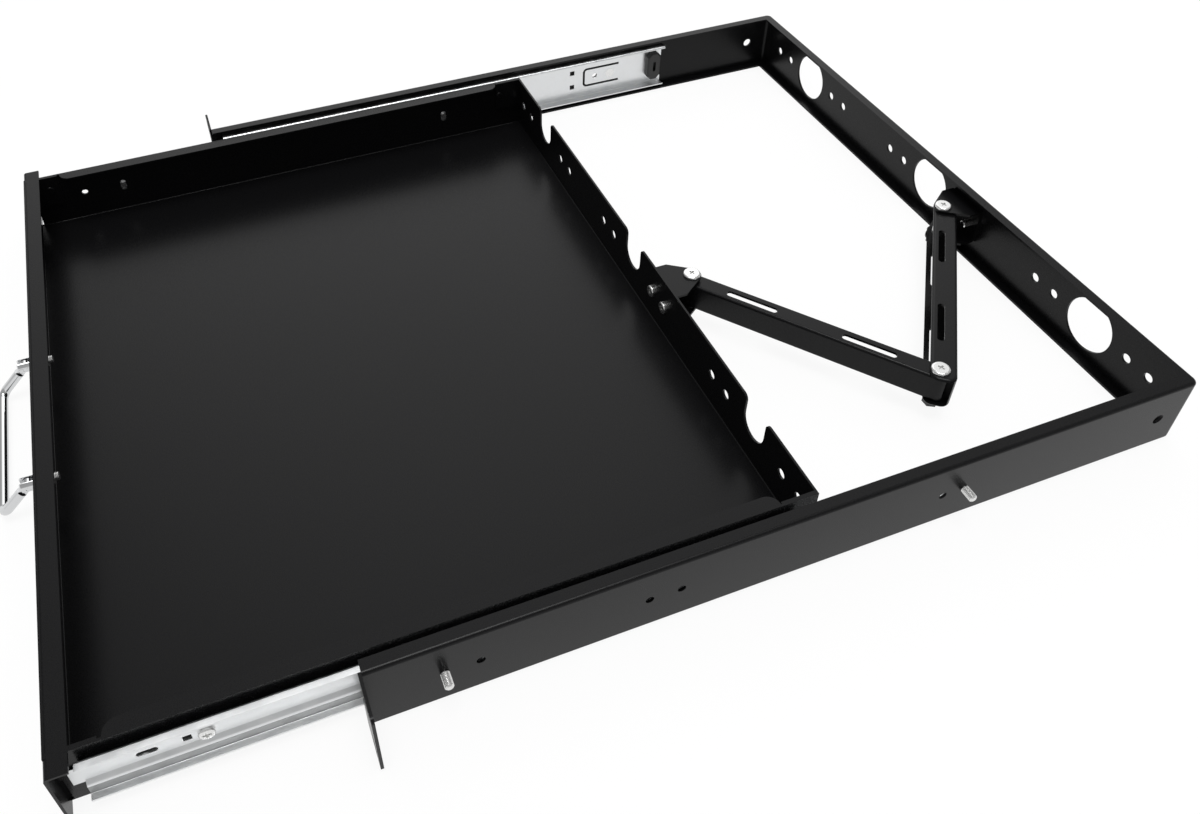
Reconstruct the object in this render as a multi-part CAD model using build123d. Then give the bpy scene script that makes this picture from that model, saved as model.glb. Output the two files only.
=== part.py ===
from build123d import *
import os
from math import asin, degrees, sqrt

os.makedirs("parts", exist_ok=True)

# Rack keyboard tray, one rack unit high, drawn partly pulled out.
# X runs across the rack, +Y towards its rear and +Z up. The origin is the
# centre of the rack screw slots, on the front face of the frame's ears.
# All sizes are in millimetres.

# Rack standard
rack_width = 482.6
rack_slot_from_edge = 8.75
rack_slot_spacing_z = 31.75
rack_slot_width = 6.8
rack_slot_length = 10.0

# Folded frame
frame_height = 44.0
frame_depth = 457.5
frame_sheet = 1.5
frame_flange = 7.2
frame_bend = 1.9
frame_corner = 4.0
mitre_gap = 1.6
ear_reach = 21.3
ear_corner = 2.5
side_hole_radius = 3.25
side_hole_from_rear = 18.6

# Rows of holes shared by the frame's rear panel and the tray's rear wall
hole_level = 0.8
cable_from_side = 70.0
cable_hole_radius = 17.0
pair_offset = 37.2
pair_pitch = 16.1
pair_hole_radius = 3.0

# Ball bearing slides
slide_thickness = 11.0
slide_height = 35.0
slide_length = 350.0
slide_setback = 8.0
slide_sheet = 1.1
slide_lip = 1.6
slide_bend = 1.4
ball_gap = 2.4
ball_slack = 0.05
ball_count = 5
inner_shorter = 8.0
inner_member_gap = 5.5
inner_nose = 5.0
outer_free = 3.2
inner_free = 6.5
inner_step = 2.2
step_start = 5.0
step_end = 7.4
cage_setback = 54.0
cage_length = 180.0
cage_end = 6.0
cage_strip = 0.7
cage_width = 3.0
cage_centre = 5.6
cage_share = 0.5
frame_screw_rear = 45.0
frame_screw_places = (28.7, slide_length - frame_screw_rear)
spare_hole_rear = 58.0
spare_hole_places = (45.6, 128.6, 145.2, slide_length - spare_hole_rear)
spare_hole_radius = 2.2
tongue_length = 31.0
tongue_height = 16.6
tongue_slit = 1.8
tongue_corner = 3.5
tongue_from_rear = 37.4
square_hole = 3.8
square_hole_from_tongue = 9.2
square_hole_level = 6.3
bumper_length = 11.5
bumper_height = 24.0
bumper_depth = 5.0
bumper_chamfer = 3.5
bumper_slot = 9.0
bumper_slot_width = 2.4
bumper_edge = 1.0
bumper_from_rear = 2.0
lever_hole_length = 9.0
lever_hole_width = 3.4
lever_hole_from_front = 36.5
catch_hole_from_front = 53.0

# Tray, one folded sheet with its front panel
tray_out = 118.0
tray_front_closed = -8.5
tray_sheet = 1.2
tray_below_frame_top = 3.0
tray_above_frame_bottom = 1.5
tray_depth = 358.6
tray_bend = 1.8
front_side_gap = 3.5
front_flange = 9.8
front_corner = 2.0
wall_flange = 8.0
wall_flange_front_gap = 23.0
wall_flange_rear_gap = 20.5
wall_flange_corner = 6.5
relief_height = 16.0
relief_gap = 1.4
tab_length = 20.0
notch_radius = 10.0
notch_bottom_level = -3.0
notch_shoulder = 3.5
tray_screw_rear = 62.1
tray_screw_places = (61.0, tray_depth - tray_screw_rear)
tray_slot_width = 4.2
tray_slot_height = 8.5
tray_hole_place = 35.2
tray_hole_radius = 2.0
rivet_from_front = 14.5
rivet_from_rear = 17.5
rivet_level = 9.0
rivet_radius = 2.4
rivet_shank = 1.5
rivet_head = 0.9

# Drop handle
handle_width = 90.0
post_radius = 4.0
post_length = 11.0
post_slot = 3.6
post_stud_radius = 2.0
post_pivot_out = 7.0
post_chamfer = 0.6
stud_past_nut = 3.0
eye_radius = 3.0
eye_room = 0.4
eye_thickness = 3.0
bail_rod_radius = 2.75
bail_leg = 24.6
bail_angle = 45.0
bail_bend = 5.0
rod_start = 6.5
neck_half = 2.2
pin_radius = 1.25
pin_clearance = 0.05

# Cable arm
link_span = 150.0
link_sheet = 1.5
link_bend = 1.7
front_link_height = 18.2
front_link_web = 5.2
front_link_edge = 6.5
front_link_reach = 6.5
front_link_corner = 5.0
rear_link_web = 9.2
rear_link_edge = 5.3
rear_link_reach = 7.5
rear_link_corner = 5.2
arm_gap = 0.3
slot_length = 31.8
slot_width = 4.2
slot_offset = 35.5
bracket_width = 28.5
bracket_shoulder = 10.0
bracket_pivot_out = 20.25
bracket_nose = 5.8
bracket_sheet = 1.5
pivot_radius = 2.5
pivot_head_radius = 5.3
pivot_head_height = 1.8
spacer_radius = 5.0

# Screws and nuts
screw_clearance = 0.05
screw_tip = 0.5
screw_past_nut = 1.0
head_round = 0.9
bracket_screw_radius = 2.45
bracket_screw_head = 3.8
bracket_screw_head_height = 2.2
bracket_screw_out = 6.5
slide_screw_radius = 2.0
slide_screw_head = 3.7
slide_screw_out = 7.5
tray_screw_head_height = 1.9
nut_height = 4.0
nut_width = 8.0
handle_nut_height = 4.0
handle_nut_width = 7.0
recess_length = 3.8
recess_width = 1.1
recess_depth = 0.9

# Places that follow from the sizes above
frame_width = rack_width - 2 * ear_reach
frame_half = frame_width / 2
rack_slot_spacing_x = rack_width - 2 * rack_slot_from_edge
cable_pitch = frame_half - cable_from_side
front_width = frame_width - 2 * front_side_gap
frame_inside = frame_half - frame_sheet
frame_bottom = -frame_height / 2
frame_top = frame_height / 2
rear_face = frame_depth - frame_sheet
tray_half = frame_inside - slide_thickness
tray_top_level = frame_top - tray_below_frame_top
tray_floor_level = frame_bottom + tray_above_frame_bottom
tray_front = tray_front_closed - tray_out
tray_rear = tray_front + tray_depth
tray_inside_front = tray_front + tray_sheet
floor_top = tray_floor_level + tray_sheet
arm_center = pair_offset
tray_pivot = Vector(arm_center, tray_rear + bracket_pivot_out, hole_level)
rear_pivot = Vector(arm_center, rear_face - bracket_pivot_out, hole_level)
fold_angle = degrees(asin((rear_pivot.Y - tray_pivot.Y) / 2 / link_span))
elbow = tray_pivot + Vector(link_span, 0, 0).rotate(Axis.Z, fold_angle)
rear_link_height = front_link_height + 2 * (arm_gap + link_sheet)
bracket_height = rear_link_height + 2 * (arm_gap + bracket_sheet)
bracket_inside = bracket_height - 2 * bracket_sheet
handle_level = hole_level
pivot_line = tray_front - post_pivot_out


def place(x, y, z):
    return Pos(x, y, z)


def mirrored(shape):
    return mirror(shape, about=Plane.YZ)


def upright(x, y, radius, bottom, top):
    return place(x, y, bottom) * extrude(Circle(radius), top - bottom)


def rod_along_y(x, z, radius, start, end):
    disc = Plane(origin=(x, start, z), x_dir=(1, 0, 0), z_dir=(0, 1, 0)) * Circle(radius)
    return extrude(disc, end - start)


def rod_along_x(y, z, radius, start, end):
    disc = Plane(origin=(start, y, z), x_dir=(0, 1, 0), z_dir=(1, 0, 0)) * Circle(radius)
    return extrude(disc, end - start)


def block(x_range, y_range, z_range):
    corner = Box(
        x_range[1] - x_range[0],
        y_range[1] - y_range[0],
        z_range[1] - z_range[0],
        align=(Align.MIN, Align.MIN, Align.MIN),
    )
    return place(x_range[0], y_range[0], z_range[0]) * corner


def save(name, shape):
    shape.label = name
    export_step(shape, f"parts/{name}.step")


def pair_places():
    # X of the twelve small holes, two pairs beside each cable opening
    return [
        cable_pitch * step + side * pair_offset + end * pair_pitch / 2
        for step in (-1, 0, 1)
        for side in (-1, 1)
        for end in (-1, 1)
    ]


# Frame: rear panel and two sides folded from one strip, flanges turned in,
# mitred at the rear corners, ears turned out at the front.


def u_plan(inset, front):
    outline = place(0, front, 0) * Rectangle(
        2 * (frame_half - inset), frame_depth - inset - front, align=(Align.CENTER, Align.MIN)
    )
    rear_corners = outline.vertices().sort_by(Axis.Y)[-2:]
    radius = max(frame_corner - inset, 0.4)
    return fillet(rear_corners, radius)


def ear():
    outer = rack_width / 2
    plate = block((frame_inside, outer), (0, frame_sheet), (frame_bottom, frame_top))
    corners = plate.edges().filter_by(Axis.Y).group_by(Axis.X)[-1]
    plate = fillet(corners, ear_corner)
    for level in (-rack_slot_spacing_z / 2, rack_slot_spacing_z / 2):
        slot = Plane(origin=(rack_slot_spacing_x / 2, 0, level), x_dir=(1, 0, 0), z_dir=(0, 1, 0))
        opening = slot * SlotOverall(rack_slot_length, rack_slot_width)
        plate -= extrude(opening, frame_sheet)
    return plate


def flange_ring(front):
    open_front = u_plan(0, front)
    return open_front - u_plan(frame_flange, front - 1)


def rack_frame():
    wall_plan = u_plan(0, 0) - u_plan(frame_sheet, -1)
    walls = place(0, 0, frame_bottom) * extrude(wall_plan, frame_height)
    flange = extrude(flange_ring(frame_sheet), frame_sheet)
    shell = walls + place(0, 0, frame_bottom) * flange
    shell += place(0, 0, frame_top - frame_sheet) * flange
    folds = [
        edge
        for edge in shell.edges()
        if abs(abs(edge.center().Z) - frame_height / 2) < 0.01
        and abs(edge.bounding_box().size.Z) < 0.01
        and (
            abs(abs(edge.center().X) - frame_half) < frame_corner
            or abs(edge.center().Y - frame_depth) < frame_corner
        )
        and edge.center().Y > frame_sheet
    ]
    shell = fillet(folds, frame_bend)
    for side in (-1, 1):
        corner = place(side * frame_half, frame_depth, 0) * Rot(0, 0, side * 45)
        reach = frame_flange * sqrt(2) + 2
        slit = corner * place(0, -frame_corner - reach / 2, 0) * Box(mitre_gap, reach, frame_height + 1)
        keep = block(
            (-frame_half, frame_half),
            (0, frame_depth),
            (frame_bottom + frame_sheet, frame_top - frame_sheet),
        )
        shell -= slit - keep
    shell += ear() + mirrored(ear())
    for step in (-1, 0, 1):
        x = cable_pitch * step
        shell -= rod_along_y(x, hole_level, cable_hole_radius, rear_face - 1, frame_depth + 1)
    for x in pair_places():
        shell -= rod_along_y(x, hole_level, pair_hole_radius, rear_face - 1, frame_depth + 1)
    hole_y = frame_depth - side_hole_from_rear
    shell -= rod_along_x(hole_y, 0, side_hole_radius, -frame_half - 1, frame_half + 1)
    for side_start in (-frame_half - 1, frame_inside - 1):
        side_end = side_start + frame_sheet + 2
        for spot in spare_hole_places:
            shell -= rod_along_x(slide_setback + spot, 0, spare_hole_radius, side_start, side_end)
        for spot in frame_screw_places:
            radius = slide_screw_radius + screw_clearance
            shell -= rod_along_x(slide_setback + spot, 0, radius, side_start, side_end)
    return shell


# Slides: two rolled channels a side, one in the other, with a cage of balls
# between them at the top and bottom that goes half as far as the tray.
# They are built for the right side, outwards from the tray wall.

outer_half = slide_height / 2
inner_half = outer_half - slide_sheet - ball_gap
outer_web = slide_thickness - slide_sheet
slide_rear = slide_setback + slide_length
inner_front = tray_front + inner_member_gap
inner_length = slide_length - inner_shorter
cage_front = slide_setback + cage_setback - cage_share * tray_out


def rolled_strip(corners, inward, front, length):
    # Corners are given from the top edge to the middle; the lower half mirrors them
    below = [(x, -z) for x, z in reversed(corners)]
    path = FilletPolyline(*corners, *below, radius=slide_bend)
    strip = path.wire().offset_2d(slide_sheet, side=inward, closed=True)
    section = Plane(origin=(tray_half, front, 0), x_dir=(1, 0, 0), z_dir=(0, -1, 0))
    return extrude(section * make_face(strip.edges()), -length)


def through_web(sketch, y, level, start, depth):
    # Cuts a sketch, drawn with its width along Y, outwards along X
    face = Plane(origin=(tray_half + start, y, level), x_dir=(0, 1, 0), z_dir=(1, 0, 0)) * sketch
    return extrude(face, depth)


def tongue_slit_sketch():
    outside = RectangleRounded(2 * tongue_length, tongue_height, tongue_corner)
    inside = RectangleRounded(
        2 * (tongue_length - tongue_slit), tongue_height - 2 * tongue_slit, tongue_corner - tongue_slit
    )
    front_half = place(-tongue_length, 0, 0) * Rectangle(2 * tongue_length, tongue_height)
    return (outside - inside) & front_half


def countersink(y, grow):
    cone = Cone(slide_screw_head + grow, slide_screw_radius + grow, slide_sheet)
    return place(tray_half + outer_web + slide_sheet / 2, y, 0) * Rot(0, 90, 0) * cone


def slide_outer():
    corners = [
        (outer_free, outer_half - slide_lip),
        (outer_free, outer_half),
        (slide_thickness, outer_half),
    ]
    member = rolled_strip(corners, Side.RIGHT, slide_setback, slide_length)
    for spot in spare_hole_places:
        member -= through_web(Circle(spare_hole_radius), slide_setback + spot, 0, outer_web, slide_sheet)
    for spot in frame_screw_places:
        member -= countersink(slide_setback + spot, screw_clearance)
    slit_end = slide_rear - tongue_from_rear
    member -= through_web(tongue_slit_sketch(), slit_end, 0, outer_web, slide_sheet)
    square_y = slit_end - tongue_length - square_hole_from_tongue
    for level in (-square_hole_level, square_hole_level):
        member -= through_web(Rectangle(square_hole, square_hole), square_y, level, outer_web, slide_sheet)
    return member


def slide_inner():
    corners = [
        (inner_free, inner_half),
        (inner_step, inner_half),
        (inner_step, step_end),
        (0, step_start),
    ]
    member = rolled_strip(corners, Side.LEFT, inner_front, inner_length)
    nose = block(
        (tray_half + slide_sheet, tray_half + inner_free + 1),
        (inner_front - 1, inner_front + inner_nose),
        (-inner_half - 1, inner_half + 1),
    )
    member -= nose
    for spot in tray_screw_places:
        hole = Circle(slide_screw_radius + screw_clearance)
        member -= through_web(hole, tray_front + spot, 0, 0, slide_sheet)
    lever_hole = SlotOverall(lever_hole_length, lever_hole_width)
    member -= through_web(lever_hole, tray_front + lever_hole_from_front, 0, 0, slide_sheet)
    catch_hole = Rectangle(square_hole, square_hole)
    member -= through_web(catch_hole, tray_front + catch_hole_from_front, 0, 0, slide_sheet)
    return member


def ball_cage():
    # One strip with its balls above the middle plane, and the same below
    level = inner_half + ball_gap / 2
    centre = tray_half + cage_centre
    strip = block(
        (centre - cage_width / 2, centre + cage_width / 2),
        (cage_front, cage_front + cage_length),
        (level - cage_strip / 2, level + cage_strip / 2),
    )
    pitch = (cage_length - 2 * cage_end) / (ball_count - 1)
    for number in range(ball_count):
        ball_y = cage_front + cage_end + number * pitch
        strip += place(centre, ball_y, level) * Sphere(ball_gap / 2 - ball_slack)
    return Compound([strip, mirror(strip, about=Plane.XY)])


def slide_bumper():
    half = bumper_height / 2
    outline = make_face(
        Polyline(
            (0, -half + bumper_chamfer),
            (bumper_chamfer, -half),
            (bumper_length - bumper_chamfer, -half),
            (bumper_length, -half + bumper_chamfer),
            (bumper_length, half - bumper_chamfer),
            (bumper_length - bumper_chamfer, half),
            (bumper_chamfer, half),
            (0, half - bumper_chamfer),
            close=True,
        )
    )
    outline -= place(bumper_length / 2, 0, 0) * SlotOverall(bumper_slot, bumper_slot_width, rotation=90)
    front = slide_rear - bumper_from_rear - bumper_length
    body = through_web(outline, front, 0, outer_web - bumper_depth, bumper_depth)
    face = body.edges().filter_by(Axis.X, reverse=True).group_by(Axis.X)[0]
    middle = front + bumper_length / 2
    outer_loop = [
        edge
        for edge in face
        if abs(edge.center().Y - middle) > bumper_slot_width or abs(edge.center().Z) > bumper_slot / 2 + 1
    ]
    return chamfer(outer_loop, bumper_edge)


def frame_slide_screws():
    screws = []
    for spot in frame_screw_places:
        y = slide_setback + spot
        shank = rod_along_x(y, 0, slide_screw_radius, frame_inside - 0.01, frame_half + slide_screw_out)
        tip = shank.faces().sort_by(Axis.X)[-1].edges()
        shank = chamfer(tip, screw_tip)
        screws.append(countersink(y, 0) + shank)
    return Compound(screws)


def tray_slide_screws():
    screws = []
    for spot in tray_screw_places:
        y = tray_front + spot
        seat = tray_half + slide_sheet
        head = rod_along_x(y, 0, slide_screw_head, seat, seat + tray_screw_head_height)
        head = fillet(head.faces().sort_by(Axis.X)[-1].edges(), head_round)
        head -= place(seat + tray_screw_head_height, y, 0) * cross_recess(Rot(0, 90, 0))
        shank = rod_along_x(y, 0, slide_screw_radius, tray_half - tray_sheet, seat)
        screws.append(head + shank)
    return Compound(screws)


def cross_recess(turn):
    # Two crossed cuts, sunk from the origin along the turned Z axis
    bar = Box(recess_length, recess_width, 2 * recess_depth)
    return turn * (bar + Rot(0, 0, 90) * bar)


# Tray: floor, four walls and front panel are one folded sheet, with tabs
# riveted at the corners.


def tray_tub():
    tub = block((-tray_half, tray_half), (tray_front, tray_rear), (tray_floor_level, tray_top_level))
    low = tub.edges().group_by(Axis.Z)[0]
    tub = fillet([edge for edge in low if edge.center().Y > tray_front + 1], tray_bend)
    inside = block(
        (-tray_half + tray_sheet, tray_half - tray_sheet),
        (tray_inside_front, tray_rear - tray_sheet),
        (floor_top, tray_top_level + 1),
    )
    return tub - fillet(inside.edges().group_by(Axis.Z)[0], tray_bend - tray_sheet)


def front_panel():
    half = front_width / 2
    panel = block((-half, half), (tray_front, tray_inside_front), (tray_floor_level, tray_top_level))
    panel += block(
        (-half, half),
        (tray_front, tray_front + front_flange),
        (tray_top_level - tray_sheet, tray_top_level),
    )
    low_corners = [
        edge for edge in panel.edges().filter_by(Axis.Y) if abs(edge.center().Z - tray_floor_level) < 0.01
    ]
    panel = fillet(low_corners, front_corner)
    fold = panel.edges().filter_by(Axis.X).group_by(Axis.Y)[0].group_by(Axis.Z)[-1]
    return fillet(fold, tray_bend)


def wall_relief():
    # The side wall stops short of the front panel
    return block(
        (tray_half - tray_sheet, tray_half + 1),
        (tray_inside_front, tray_inside_front + relief_gap),
        (floor_top, tray_top_level - tray_sheet),
    )


def side_flange_and_tabs():
    flange_y = (tray_front + wall_flange_front_gap, tray_rear - wall_flange_rear_gap)
    flange = block(
        (tray_half - wall_flange, tray_half), flange_y, (tray_top_level - tray_sheet, tray_top_level)
    )
    flange = fillet(flange.edges().filter_by(Axis.Z).group_by(Axis.X)[0], wall_flange_corner)
    tab_x = (tray_half - 2 * tray_sheet, tray_half - tray_sheet)
    tab_z = (floor_top + relief_height, tray_top_level)
    front_tab = block(tab_x, (tray_front, tray_inside_front + tab_length), tab_z)
    rear_tab = block(tab_x, (tray_rear - tab_length, tray_rear), tab_z)
    return flange + front_tab + rear_tab


def side_holes():
    holes = []
    for spot in tray_screw_places:
        slot = SlotOverall(tray_slot_height, tray_slot_width, rotation=90)
        holes.append(through_web(slot, tray_front + spot, 0, -tray_sheet - 1, tray_sheet + 2))
    hole = Circle(tray_hole_radius)
    hole_y = tray_front + tray_hole_place
    holes.append(through_web(hole, hole_y, hole_level, -tray_sheet - 1, tray_sheet + 2))
    shank = Circle(rivet_shank + screw_clearance)
    for y in rivet_places():
        holes.append(through_web(shank, y, rivet_level, -2 * tray_sheet - 1, 2 * tray_sheet + 2))
    return holes


def rivet_places():
    return (tray_front + rivet_from_front, tray_rear - rivet_from_rear)


def rear_notch(x):
    centre = notch_bottom_level + notch_radius
    wall_y = (tray_rear - tray_sheet - 1, tray_rear + 1)
    notch = rod_along_y(x, centre, notch_radius, *wall_y)
    return notch + block((x - notch_radius, x + notch_radius), wall_y, (centre, tray_top_level + 1))


def tray_pan():
    pan = tray_tub() - wall_relief() - mirrored(wall_relief())
    for step in (-1, 0, 1):
        pan -= rear_notch(cable_pitch * step)
    shoulders = [
        edge
        for edge in pan.edges().filter_by(Axis.Y)
        if edge.length < 2 * tray_sheet
        and abs(edge.center().Z - tray_top_level) < 0.01
        and abs(edge.center().X) < cable_pitch + 2 * notch_radius
    ]
    pan = fillet(shoulders, notch_shoulder)
    pan += front_panel() + side_flange_and_tabs() + mirrored(side_flange_and_tabs())
    for hole in side_holes():
        pan -= hole
        pan -= mirrored(hole)
    for x in pair_places():
        pan -= rod_along_y(x, hole_level, pair_hole_radius, tray_rear - tray_sheet - 1, tray_rear + 1)
    for x in handle_places():
        hole_radius = post_stud_radius + screw_clearance
        pan -= rod_along_y(x, handle_level, hole_radius, tray_front - 1, tray_inside_front + 1)
    return pan


def tray_corner_rivets():
    rivets = []
    inside = tray_half - 2 * tray_sheet
    for y in rivet_places():
        head = rod_along_x(y, rivet_level, rivet_radius, inside - rivet_head, inside)
        head = fillet(head.faces().sort_by(Axis.X)[0].edges(), rivet_head * 0.8)
        rivet = head + rod_along_x(y, rivet_level, rivet_shank, inside, tray_half)
        rivets += [rivet, mirrored(rivet)]
    return Compound(rivets)


# Handle: a bent rod that swings between two slotted posts.


def handle_places():
    return (-handle_width / 2, handle_width / 2)


def handle_posts():
    posts = []
    for x in handle_places():
        post = rod_along_y(x, handle_level, post_radius, tray_front - post_length, tray_front)
        post = chamfer(post.faces().sort_by(Axis.Y)[0].edges(), post_chamfer)
        stud_end = tray_inside_front + handle_nut_height + stud_past_nut
        post += rod_along_y(x, handle_level, post_stud_radius, tray_front, stud_end)
        post -= block(
            (x - post_slot / 2, x + post_slot / 2),
            (tray_front - post_length - 1, pivot_line + eye_radius + eye_room),
            (handle_level - post_radius - 1, handle_level + post_radius + 1),
        )
        bore = pin_radius + screw_clearance / 2
        post -= rod_along_x(pivot_line, handle_level, bore, x - post_radius - 1, x + post_radius + 1)
        posts.append(post)
    return Compound(posts)


def handle_pins():
    reach = sqrt(post_radius**2 - pin_radius**2)
    pins = [
        rod_along_x(pivot_line, handle_level, pin_radius, x - reach, x + reach) for x in handle_places()
    ]
    return Compound(pins)


def handle_nuts():
    nuts = []
    for x in handle_places():
        face = Plane(origin=(x, tray_inside_front, handle_level), x_dir=(1, 0, 0), z_dir=(0, 1, 0))
        ring = RegularPolygon(handle_nut_width / 2, 6, major_radius=False)
        ring -= Circle(post_stud_radius + screw_clearance)
        nuts.append(extrude(face * ring, handle_nut_height))
    return Compound(nuts)


def handle_bail():
    # Drawn hanging straight down from the pivot line, then swung forward
    left, right = handle_places()
    path = FilletPolyline(
        (left, 0, -rod_start), (left, 0, -bail_leg), (right, 0, -bail_leg), (right, 0, -rod_start),
        radius=bail_bend,
    )
    rod = sweep(Plane(origin=(left, 0, -rod_start), z_dir=(0, 0, -1)) * Circle(bail_rod_radius), path=path)
    bail = rod
    half = eye_thickness / 2
    for x in handle_places():
        bail += rod_along_x(0, 0, eye_radius, x - half, x + half)
        bail += block((x - half, x + half), (-neck_half, neck_half), (-rod_start - 0.5, 0))
        bail -= rod_along_x(0, 0, pin_radius + pin_clearance, x - half - 1, x + half + 1)
    return place(0, pivot_line, handle_level) * Rot(-bail_angle, 0, 0) * bail


# Cable arm: two folded channels between clevis brackets. The rear link
# straddles the front link at the elbow, and the brackets straddle both.


def link(height, web, edge, reach, corner):
    # Drawn along X from one pivot to the other, with its back at -Y
    length = link_span + 2 * reach
    outline = RectangleRounded(length, web + edge, corner)
    body = place(link_span / 2, (edge - web) / 2, -height / 2) * extrude(outline, height)
    backs = body.edges().filter_by(Axis.X).filter_by(lambda line: line.center().Y < link_sheet - web)
    body = fillet(backs, link_bend)
    body -= block(
        (-reach - 1, link_span + reach + 1),
        (link_sheet - web, edge + 1),
        (link_sheet - height / 2, height / 2 - link_sheet),
    )
    for x in (0, link_span):
        body -= upright(x, 0, pivot_radius + screw_clearance, -height, height)
    for x in (link_span / 2 - slot_offset, link_span / 2 + slot_offset):
        body -= place(x, 0, -height) * extrude(SlotOverall(slot_length, slot_width), 2 * height)
    return body


def front_arm_link():
    body = link(front_link_height, front_link_web, front_link_edge, front_link_reach, front_link_corner)
    return Pos(tray_pivot) * Rot(0, 0, fold_angle) * body


def rear_arm_link():
    body = link(rear_link_height, rear_link_web, rear_link_edge, rear_link_reach, rear_link_corner)
    return Pos(elbow) * Rot(0, 0, 180 - fold_angle) * body


def arm_bracket():
    # Drawn standing out from the XZ plane along +Y, centred on its pivot height
    base = place(0, bracket_shoulder / 2, 0) * Rectangle(bracket_width, bracket_shoulder)
    nose = place(0, bracket_pivot_out, 0) * Circle(bracket_nose)
    outline = make_hull((base + nose).edges())
    body = place(0, 0, -bracket_height / 2) * extrude(outline, bracket_height)
    bends = body.edges().filter_by(Axis.X).filter_by(lambda line: abs(line.center().Y) < 0.01)
    body = fillet(bends, link_bend)
    body -= block(
        (-bracket_width, bracket_width),
        (bracket_sheet, 2 * bracket_pivot_out),
        (-bracket_inside / 2, bracket_inside / 2),
    )
    body -= upright(0, bracket_pivot_out, pivot_radius + screw_clearance, -bracket_height, bracket_height)
    for x in (-pair_pitch / 2, pair_pitch / 2):
        body -= rod_along_y(x, 0, bracket_screw_radius + screw_clearance, -1, bracket_sheet + 1)
    return body


def tray_arm_bracket():
    return place(arm_center, tray_rear, hole_level) * arm_bracket()


def rear_arm_bracket():
    return place(arm_center, rear_face, hole_level) * Rot(0, 0, 180) * arm_bracket()


def pivot_head(level):
    head = upright(0, 0, pivot_head_radius, level, level + pivot_head_height)
    head = fillet(head.faces().sort_by(Axis.Z)[-1].edges(), pivot_head_height * 0.7)
    return head - place(0, 0, level + pivot_head_height) * cross_recess(Rot(0, 0, 25))


def pivot_screw(half):
    bottom = -half - nut_height - screw_past_nut
    return pivot_head(half) + upright(0, 0, pivot_radius, bottom, half)


def pivot_nut(half):
    ring = RegularPolygon(nut_width / 2, 6, major_radius=False) - Circle(pivot_radius + screw_clearance)
    return place(0, 0, -half - nut_height) * extrude(ring, nut_height)


def open_pivot_screw():
    # The screw stops short of the link on both sides
    half = bracket_height / 2
    stop = front_link_height / 2 + arm_gap
    upper = pivot_head(half) + upright(0, 0, pivot_radius, stop, half)
    lower = upright(0, 0, pivot_radius, -half - nut_height - screw_past_nut, -stop)
    return Compound([upper, lower])


def pivot_spacers():
    stop = front_link_height / 2 + arm_gap
    ring = Circle(spacer_radius) - Circle(pivot_radius + screw_clearance)
    upper = place(0, 0, stop) * extrude(ring, bracket_inside / 2 - stop)
    return Compound([upper, mirror(upper, about=Plane.XY)])


def bracket_screws(outward):
    # Drawn with the wall's near face on the XZ plane and the threads along +Y
    screws = []
    for x in (-pair_pitch / 2, pair_pitch / 2):
        head = rod_along_y(x, 0, bracket_screw_head, -bracket_screw_head_height, 0)
        head = fillet(head.faces().sort_by(Axis.Y)[0].edges(), head_round)
        head -= place(x, -bracket_screw_head_height, 0) * cross_recess(Rot(90, 0, 0))
        shank = rod_along_y(x, 0, bracket_screw_radius, 0, outward)
        shank = chamfer(shank.faces().sort_by(Axis.Y)[-1].edges(), screw_tip)
        screws.append(head + shank)
    return Compound(screws)


def tray_bracket_screws():
    reach = tray_sheet + bracket_sheet + bracket_screw_out
    return place(arm_center, tray_rear - tray_sheet, hole_level) * bracket_screws(reach)


def rear_bracket_screws():
    reach = frame_sheet + bracket_sheet + bracket_screw_out
    return place(arm_center, frame_depth, hole_level) * Rot(0, 0, 180) * bracket_screws(reach)


right_side = {
    "slide_outer": slide_outer,
    "slide_inner": slide_inner,
    "ball_cage": ball_cage,
    "slide_bumper": slide_bumper,
    "frame_slide_screws": frame_slide_screws,
    "tray_slide_screws": tray_slide_screws,
}

save("rack_frame", rack_frame())
save("tray_pan", tray_pan())
save("tray_corner_rivets", tray_corner_rivets())

for name, build in right_side.items():
    right = build()
    save(f"right_{name}", right)
    save(f"left_{name}", mirrored(right))

save("handle_posts", handle_posts())
save("handle_pins", handle_pins())
save("handle_nuts", handle_nuts())
save("handle_bail", handle_bail())

save("tray_arm_bracket", tray_arm_bracket())
save("rear_arm_bracket", rear_arm_bracket())
save("front_arm_link", front_arm_link())
save("rear_arm_link", rear_arm_link())
save("rear_pivot_screw", Pos(rear_pivot) * pivot_screw(bracket_height / 2))
save("rear_pivot_nut", Pos(rear_pivot) * pivot_nut(bracket_height / 2))
save("elbow_pivot_screw", Pos(elbow) * pivot_screw(rear_link_height / 2))
save("elbow_pivot_nut", Pos(elbow) * pivot_nut(rear_link_height / 2))
save("tray_pivot_screw", Pos(tray_pivot) * open_pivot_screw())
save("tray_pivot_nut", Pos(tray_pivot) * pivot_nut(bracket_height / 2))
save("tray_pivot_spacers", Pos(tray_pivot) * pivot_spacers())
save("tray_bracket_screws", tray_bracket_screws())
save("rear_bracket_screws", rear_bracket_screws())
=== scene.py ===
import math

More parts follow.
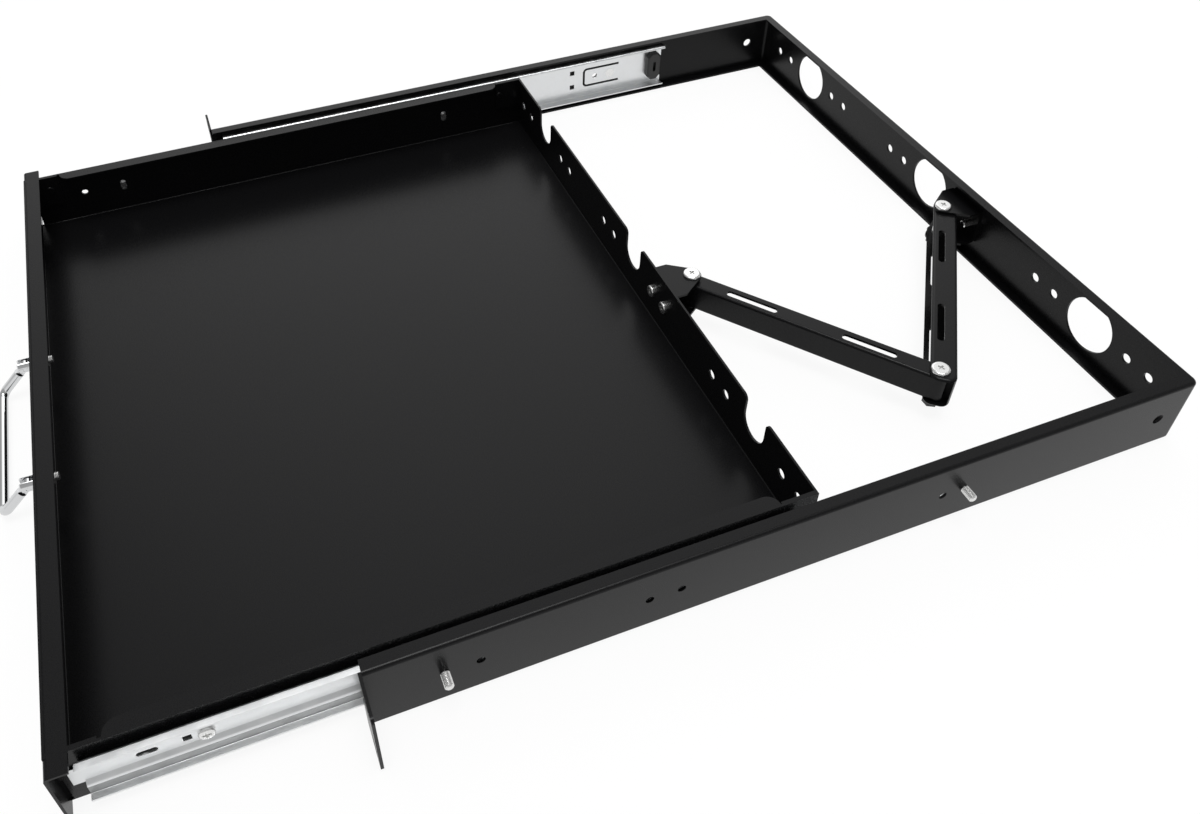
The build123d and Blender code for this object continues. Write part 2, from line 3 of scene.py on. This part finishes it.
import bmesh
import bpy
from mathutils import Matrix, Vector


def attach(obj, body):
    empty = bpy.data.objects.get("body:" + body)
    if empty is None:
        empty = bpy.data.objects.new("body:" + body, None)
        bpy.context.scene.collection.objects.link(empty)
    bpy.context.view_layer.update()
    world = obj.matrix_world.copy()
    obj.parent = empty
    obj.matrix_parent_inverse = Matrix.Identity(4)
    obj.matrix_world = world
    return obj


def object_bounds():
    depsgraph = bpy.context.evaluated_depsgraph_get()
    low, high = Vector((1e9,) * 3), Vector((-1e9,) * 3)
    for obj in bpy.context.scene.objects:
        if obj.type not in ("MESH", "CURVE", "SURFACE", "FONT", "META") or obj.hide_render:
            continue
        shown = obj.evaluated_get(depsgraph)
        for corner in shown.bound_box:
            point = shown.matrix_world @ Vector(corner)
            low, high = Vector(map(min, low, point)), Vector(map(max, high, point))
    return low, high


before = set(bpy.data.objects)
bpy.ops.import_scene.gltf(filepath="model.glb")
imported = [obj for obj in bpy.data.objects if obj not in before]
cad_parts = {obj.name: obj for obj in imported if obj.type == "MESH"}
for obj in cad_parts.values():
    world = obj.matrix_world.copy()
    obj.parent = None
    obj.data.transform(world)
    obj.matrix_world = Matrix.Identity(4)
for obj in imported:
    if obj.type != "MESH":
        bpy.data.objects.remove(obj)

solids_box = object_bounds()

# Frame: one strip of 1.5 mm steel, punched and folded round in a rectangle, with its flanges
# turned in and its ears turned out. Polyester powder is baked on afterwards, so holes and edges
# are black too.


def colour(hex_code):
    """The linear colour of an sRGB hex code."""
    channels = [int(hex_code[i:i + 2], 16) / 255 for i in (1, 3, 5)]
    linear = [c / 12.92 if c <= 0.04045 else ((c + 0.055) / 1.055) ** 2.4 for c in channels]
    return (*linear, 1)


def add(owner, kind, settings=None, links=()):
    """Adds a node. Settings are its properties or inputs.

    Links are (its input, source node, the source's output).
    """
    node = owner.node_tree.nodes.new(kind)
    for name, value in (settings or {}).items():
        if isinstance(name, int) or name in node.inputs:
            node.inputs[name].default_value = value
        else:
            setattr(node, name, value)
    for name, source, output in links:
        owner.node_tree.links.new(source.outputs[output], node.inputs[name])
    return node


def new_material(name):
    """A material with an empty node tree."""
    material = bpy.data.materials.new(name)
    material.use_nodes = True
    material.node_tree.nodes.clear()
    return material


def dress(names, material):
    """Gives CAD nodes a material."""
    for name in names:
        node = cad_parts[name]
        node.data.materials.clear()
        node.data.materials.append(material)


# Satin black powder: a faint orange peel of about 1.5 mm blurs what it mirrors, the 0.4 mm grains
# of the powder change the gloss a little, and the sheet under it has waves of some 55 mm.
powder_coat = new_material("powder_coat")
place = add(powder_coat, "ShaderNodeTexCoord")
grain = add(powder_coat, "ShaderNodeTexNoise", {"Scale": 2600.0, "Detail": 1.0},
            [("Vector", place, "Object")])
gloss = add(powder_coat, "ShaderNodeMapRange",
            {"From Min": 0.3, "From Max": 0.7, "To Min": 0.24, "To Max": 0.34},
            [("Value", grain, "Fac")])
wave = add(powder_coat, "ShaderNodeTexNoise", {"Scale": 18.0, "Detail": 0.0},
           [("Vector", place, "Object")])
sheet = add(powder_coat, "ShaderNodeBump", {"Strength": 0.05, "Distance": 0.001},
            [("Height", wave, "Fac")])
peel = add(powder_coat, "ShaderNodeTexNoise", {"Scale": 650.0, "Detail": 2.0},
           [("Vector", place, "Object")])
peel_height = add(powder_coat, "ShaderNodeBump", {"Strength": 0.05, "Distance": 0.0003},
                  [("Height", peel, "Fac"), ("Normal", sheet, "Normal")])
coat = add(powder_coat, "ShaderNodeBsdfPrincipled",
           {"Base Color": colour("#0d0d0e"), "Specular IOR Level": 0.16},
           [("Roughness", gloss, "Result"), ("Normal", peel_height, "Normal")])
add(powder_coat, "ShaderNodeOutputMaterial", {}, [("Surface", coat, "BSDF")])
dress(["rack_frame"], powder_coat)

# Slides: two channels a side, roll formed from 1.1 mm cold rolled strip and zinc plated, screwed
# to the frame and to the tray.
# These place the band of painted shade on the inner channels, at the level of their ball race.
inner_channel_side = 0.2155
race_level = -0.0102
race_half_height = 0.0026

# Rolled zinc: rolling leaves lines 0.4 mm wide and 80 mm long, and the plating clouds over some 8
# mm.
# A grey band low on the inner channels, at the ball race, is painted shade for the lower flange's
# shade.
zinc = new_material("rolled_zinc")
place = add(zinc, "ShaderNodeTexCoord")
cloud = add(zinc, "ShaderNodeTexNoise", {"Scale": 130.0, "Detail": 3.0},
            [("Vector", place, "Object")])
cloud_gloss = add(zinc, "ShaderNodeMapRange",
                  {"From Min": 0.3, "From Max": 0.7, "To Min": 0.28, "To Max": 0.44},
                  [("Value", cloud, "Fac")])
tint = add(zinc, "ShaderNodeMix",
           {"data_type": "RGBA", 6: colour("#d6d8da"), 7: colour("#e8e9e9")},
           [("Factor", cloud, "Fac")])
where = add(zinc, "ShaderNodeSeparateXYZ", {}, [("Vector", place, "Object")])
from_middle = add(zinc, "ShaderNodeMath", {"operation": "ABSOLUTE"}, [(0, where, "X")])
inner_side = add(zinc, "ShaderNodeMath", {"operation": "LESS_THAN", 1: inner_channel_side},
                 [(0, from_middle, "Value")])
# Painted shade: a band round the race level on the inner channels, for the shade under the lower
# flange.
painted_shade_race = add(zinc, "ShaderNodeMath",
           {"operation": "COMPARE", 1: race_level, 2: race_half_height}, [(0, where, "Z")])
grease_smear_and_shade_band = add(zinc, "ShaderNodeMath", {"operation": "MULTIPLY"},
            [(0, inner_side, "Value"), (1, painted_shade_race, "Value")])
# The band is tinted grey, as painted shade.
painted_shade_tint = add(zinc, "ShaderNodeMix", {"data_type": "RGBA", 7: colour("#8f9090")},
              [("Factor", grease_smear_and_shade_band, "Value"), (6, tint, 2)])
along = add(zinc, "ShaderNodeMapping", {"Scale": (2500.0, 12.0, 2500.0)},
            [("Vector", place, "Object")])
lines = add(zinc, "ShaderNodeTexNoise", {"Scale": 1.0, "Detail": 3.0},
            [("Vector", along, "Vector")])
line_height = add(zinc, "ShaderNodeBump", {"Strength": 0.12, "Distance": 0.0002},
                  [("Height", lines, "Fac")])
plate = add(zinc, "ShaderNodeBsdfPrincipled", {"Metallic": 1.0},
            [("Base Color", painted_shade_tint, 2), ("Roughness", cloud_gloss, "Result"),
             ("Normal", line_height, "Normal")])
add(zinc, "ShaderNodeOutputMaterial", {}, [("Surface", plate, "BSDF")])
dress(["left_slide_outer", "right_slide_outer", "left_slide_inner", "right_slide_inner"], zinc)

# Ball cages: steel strips that keep the hardened balls apart between the two channels. They lie
# loose in the grease and are held by the balls alone.

# Greased steel: darker than the channels, with smears of about 3 mm that shine where the grease
# lies.
grease = new_material("greased_steel")
place = add(grease, "ShaderNodeTexCoord")
grease_smear_and_shade_band = add(grease, "ShaderNodeTexNoise", {"Scale": 300.0, "Detail": 4.0},
            [("Vector", place, "Object")])
smear_gloss = add(grease, "ShaderNodeMapRange",
                  {"From Min": 0.3, "From Max": 0.7, "To Min": 0.1, "To Max": 0.4},
                  [("Value", grease_smear_and_shade_band, "Fac")])
steel = add(grease, "ShaderNodeBsdfPrincipled",
            {"Base Color": colour("#b3b1aa"), "Metallic": 1.0},
            [("Roughness", smear_gloss, "Result")])
add(grease, "ShaderNodeOutputMaterial", {}, [("Surface", steel, "BSDF")])
dress(["left_ball_cage", "right_ball_cage"], grease)

# Bumpers: stops of black nylon, injection moulded and pressed into the outer channels' rear
# ends, where they soften the tray's last few millimetres.

# Moulded nylon: the mould was spark eroded, which leaves a matt grain of 0.3 mm.
plastic = new_material("moulded_nylon")
place = add(plastic, "ShaderNodeTexCoord")
spark = add(plastic, "ShaderNodeTexNoise", {"Scale": 3500.0, "Detail": 1.0},
            [("Vector", place, "Object")])
spark_height = add(plastic, "ShaderNodeBump", {"Strength": 0.2, "Distance": 0.0001},
                   [("Height", spark, "Fac")])
nylon = add(plastic, "ShaderNodeBsdfPrincipled",
            {"Base Color": colour("#0e0e0e"), "Roughness": 0.42},
            [("Normal", spark_height, "Normal")])
add(plastic, "ShaderNodeOutputMaterial", {}, [("Surface", nylon, "BSDF")])
dress(["left_slide_bumper", "right_slide_bumper"], plastic)

# Slide screws: cold headed steel. Two a side are countersunk in the outer channel and run
# through the frame, two hold the inner channel to the tray.

# Nickel plate: tumbling in the plating barrel leaves dull and bright marks of about 1 mm on a
# light, faintly warm grey.
nickel = new_material("nickel_plate")
place = add(nickel, "ShaderNodeTexCoord")
barrel = add(nickel, "ShaderNodeTexNoise", {"Scale": 900.0, "Detail": 3.0},
             [("Vector", place, "Object")])
barrel_gloss = add(nickel, "ShaderNodeMapRange",
                   {"From Min": 0.3, "From Max": 0.7, "To Min": 0.2, "To Max": 0.34},
                   [("Value", barrel, "Fac")])
head = add(nickel, "ShaderNodeBsdfPrincipled",
           {"Base Color": colour("#e0e0df"), "Metallic": 1.0},
           [("Roughness", barrel_gloss, "Result")])
add(nickel, "ShaderNodeOutputMaterial", {}, [("Surface", head, "BSDF")])
dress([f"{side}_{part}_slide_screws" for side in ("left", "right") for part in ("frame", "tray")],
      nickel)

# Screw threads: the slide screws are longer than the frame's wall is thick, and their rolled M4
# threads stand out of its sides. The flanks catch the light as fine bright rings, which are cut
# as rings and a little too deep, so that they show.
thread_pitch = 0.0007
thread_root = 0.002
thread_crest = 0.00225
thread_bore = 0.0018
thread_steps = 28
thread_normal = (0, 0, 1)


def threaded_ends(name, starts, axis, turns, body):
    """The threads of one body's screws or studs.

    Starts are (the thread's first point, 1 along the axis or -1 against it).
    """
    profile = [(0, thread_bore)]
    for turn in range(turns):
        profile += [(turn * thread_pitch, thread_root),
                    ((turn + 0.5) * thread_pitch, thread_crest)]
    profile += [(turns * thread_pitch, thread_root), (turns * thread_pitch, thread_bore)]
    cut = bmesh.new()
    for start, sign in starts:
        corners = [cut.verts.new([s + sign * a * reach + n * radius
                                  for s, a, n in zip(start, axis, thread_normal)])
                   for reach, radius in profile]
        edges = [cut.edges.new(pair) for pair in zip(corners, corners[1:] + corners[:1])]
        bmesh.ops.spin(cut, geom=corners + edges, cent=start, axis=axis, angle=2 * math.pi,
                       steps=thread_steps, use_merge=True)
    bmesh.ops.recalc_face_normals(cut, faces=cut.faces)
    mesh = bpy.data.meshes.new(name)
    cut.to_mesh(mesh)
    cut.free()
    mesh.materials.append(nickel)
    piece = bpy.data.objects.new(name, mesh)
    bpy.context.scene.collection.objects.link(piece)
    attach(piece, body)


screw_thread_start = 0.2201
screw_rows = (0.0367, 0.3130)
screw_turns = 10
threaded_ends("slide_screw_threads",
              [((side * screw_thread_start, row, 0), side)
               for side in (-1, 1) for row in screw_rows],
              (1, 0, 0), screw_turns, "frame")

# Tray: one sheet of 1.2 mm steel, folded up on four sides with its front panel and flanges, and
# coated with the same powder as the frame.
dress(["tray_pan"], powder_coat)

# Corner rivets: steel blind rivets, pulled through the lapped corner tabs before the tray is
# coated, so the powder covers them too.
dress(["tray_corner_rivets"], powder_coat)

# Handle posts, pins and nuts: turned steel posts, slotted for the rod, each with a threaded stud
# that a nut holds inside the front panel.
stud_side = 0.045
stud_level = 0.0008
stud_thread_start = -0.12125
stud_turns = 4

# Bright chrome: polished before plating, so it mirrors sharply, with hair scratches of 0.7 mm.
chrome = new_material("bright_chrome")
place = add(chrome, "ShaderNodeTexCoord")
drawn = add(chrome, "ShaderNodeTexNoise", {"Scale": 1500.0, "Detail": 2.0},
            [("Vector", place, "Object")])
drawn_gloss = add(chrome, "ShaderNodeMapRange",
                  {"From Min": 0.3, "From Max": 0.7, "To Min": 0.04, "To Max": 0.09},
                  [("Value", drawn, "Fac")])
rod = add(chrome, "ShaderNodeBsdfPrincipled",
          {"Base Color": colour("#cfd0d1"), "Metallic": 1.0},
          [("Roughness", drawn_gloss, "Result")])
add(chrome, "ShaderNodeOutputMaterial", {}, [("Surface", rod, "BSDF")])
dress(["handle_posts", "handle_pins"], chrome)
dress(["handle_nuts"], nickel)
threaded_ends("handle_stud_threads",
              [((side * stud_side, stud_thread_start, stud_level), 1) for side in (-1, 1)],
              (0, 1, 0), stud_turns, "tray")

# Handle bail: steel rod, bent twice, flattened to an eye at each end and chrome plated. It hangs
# on the pins and swings.
dress(["handle_bail"], chrome)

# Arm brackets and links: channels folded from 1.5 mm steel, slotted to tie cables to, and coated
# with the same powder. The brackets are screwed to the tray and the frame.
dress(["tray_arm_bracket", "rear_arm_bracket", "front_arm_link", "rear_arm_link"], powder_coat)

# Pivot screws and bracket screws: cold headed steel with pan heads and a cross recess, nickel
# plated like the others. The links turn on the pivot screws.
dress(["rear_pivot_screw", "elbow_pivot_screw", "tray_pivot_screw", "tray_bracket_screws",
       "rear_bracket_screws"], nickel)

# Pivot nuts: hexagon steel nuts that lock the pivot screws from below, just loose enough for
# the links to turn.

# Blackened steel: a chemical black is a dull dark metal, with an oil sheen that changes over
# some 1.5 mm.
blackened = new_material("blackened_steel")
place = add(blackened, "ShaderNodeTexCoord")
oil = add(blackened, "ShaderNodeTexNoise", {"Scale": 700.0, "Detail": 3.0},
          [("Vector", place, "Object")])
oil_gloss = add(blackened, "ShaderNodeMapRange",
                {"From Min": 0.3, "From Max": 0.7, "To Min": 0.3, "To Max": 0.5},
                [("Value", oil, "Fac")])
oxide = add(blackened, "ShaderNodeBsdfPrincipled", {"Base Color": colour("#17171a")},
            [("Roughness", oil_gloss, "Result")])
add(blackened, "ShaderNodeOutputMaterial", {}, [("Surface", oxide, "BSDF")])
dress(["rear_pivot_nut", "elbow_pivot_nut", "tray_pivot_nut"], blackened)

# Pivot spacers: plain rings of the same black nylon, slipped over the tray's pivot screw. They
# take up the play between the front link and its bracket.
dress(["tray_pivot_spacers"], plastic)

# Table: a white sheet of paper far wider than the tray. What the camera sees of it is nearly
# plain white, with a trace of the tray's soft shadow.
table_half = 30.0
plain_white_share = 0.9
ground = bmesh.new()
bmesh.ops.create_grid(ground, x_segments=1, y_segments=1, size=table_half,
                      matrix=Matrix.Translation((0, 0, solids_box[0][2])))
table_mesh = bpy.data.meshes.new("table")
ground.to_mesh(table_mesh)
ground.free()
table = bpy.data.objects.new("table", table_mesh)
bpy.context.scene.collection.objects.link(table)
white = new_material("white_paper")
ray = add(white, "ShaderNodeLightPath")
seen = add(white, "ShaderNodeMath", {"operation": "MAXIMUM"},
           [(0, ray, "Is Camera Ray"), (1, ray, "Is Glossy Ray")])
seen_through = add(white, "ShaderNodeMath", {"operation": "MAXIMUM"},
                   [(0, seen, "Value"), (1, ray, "Is Transmission Ray")])
share = add(white, "ShaderNodeMath", {"operation": "MULTIPLY", 1: plain_white_share},
            [(0, seen_through, "Value")])
paper = add(white, "ShaderNodeBsdfDiffuse", {"Color": colour("#f4f4f4")})
glow = add(white, "ShaderNodeEmission", {"Color": (1, 1, 1, 1), "Strength": 1.0})
mixed = add(white, "ShaderNodeMixShader", {},
            [(0, share, "Value"), (1, paper, "BSDF"), (2, glow, "Emission")])
add(white, "ShaderNodeOutputMaterial", {}, [("Surface", mixed, "Shader")])
table_mesh.materials.append(white)

# Light: a white tent all round, with a large soft window on the left, which the tray's floor
# mirrors, and a smaller and brighter one overhead, which draws the thin bright lines along the
# bends.
world = bpy.data.worlds.new("studio")
bpy.context.scene.world = world
world.use_nodes = True
world.node_tree.nodes.clear()
view = add(world, "ShaderNodeTexCoord")
split = add(world, "ShaderNodeSeparateXYZ", {}, [("Vector", view, "Generated")])
tent = add(world, "ShaderNodeValToRGB", {}, [("Fac", split, "Z")])
horizon, top = tent.color_ramp.elements
horizon.position, top.position = 0.02, 1.0
horizon.color, top.color = (1, 1, 1, 1), (1, 1, 1, 1)
for height, grey in ((0.2, 0.5), (0.88, 0.45)):
    tent.color_ramp.elements.new(height).color = (grey, grey, grey, 1)


def window(azimuth, elevation, reach, bright):
    """A soft round patch of light in the tent, all angles in degrees."""
    turn, rise = math.radians(azimuth), math.radians(elevation)
    middle = (math.cos(turn) * math.cos(rise), math.sin(turn) * math.cos(rise), math.sin(rise))
    aim = add(world, "ShaderNodeVectorMath", {"operation": "DOT_PRODUCT", 1: middle},
              [(0, view, "Generated")])
    return add(world, "ShaderNodeMapRange",
               {"interpolation_type": "SMOOTHSTEP", "From Min": math.cos(math.radians(reach)),
                "From Max": 1.0, "To Min": 0.0, "To Max": bright}, [("Value", aim, "Value")])


left_window = window(azimuth=162, elevation=36, reach=36, bright=1.35)
top_window = window(azimuth=0, elevation=84, reach=20, bright=9.0)
both = add(world, "ShaderNodeMath", {"operation": "ADD"},
           [(0, left_window, "Result"), (1, top_window, "Result")])
every = add(world, "ShaderNodeMath", {"operation": "ADD"},
            [(0, both, "Value"), (1, tent, "Color")])
sky = add(world, "ShaderNodeBackground", {}, [("Color", every, "Value")])
add(world, "ShaderNodeOutputWorld", {}, [("Surface", sky, "Background")])

# Camera: to the right of the tray and well above it, as the photograph was taken, turned a
# little on its side. The shift holds the off-centre crop.
camera_data = bpy.data.cameras.new("camera")
camera_data.sensor_width = 36.0
camera_data.lens = 32.02
camera_data.shift_x = 0.0676
camera_data.shift_y = -0.1323
camera = bpy.data.objects.new("camera", camera_data)
camera.location = (0.45691, -0.01043, 0.44607)
camera.rotation_euler = [math.radians(turn) for turn in (49.796, 0.813, 69.474)]
bpy.context.scene.collection.objects.link(camera)
bpy.context.scene.camera = camera
bpy.context.scene.view_settings.view_transform = "Standard"
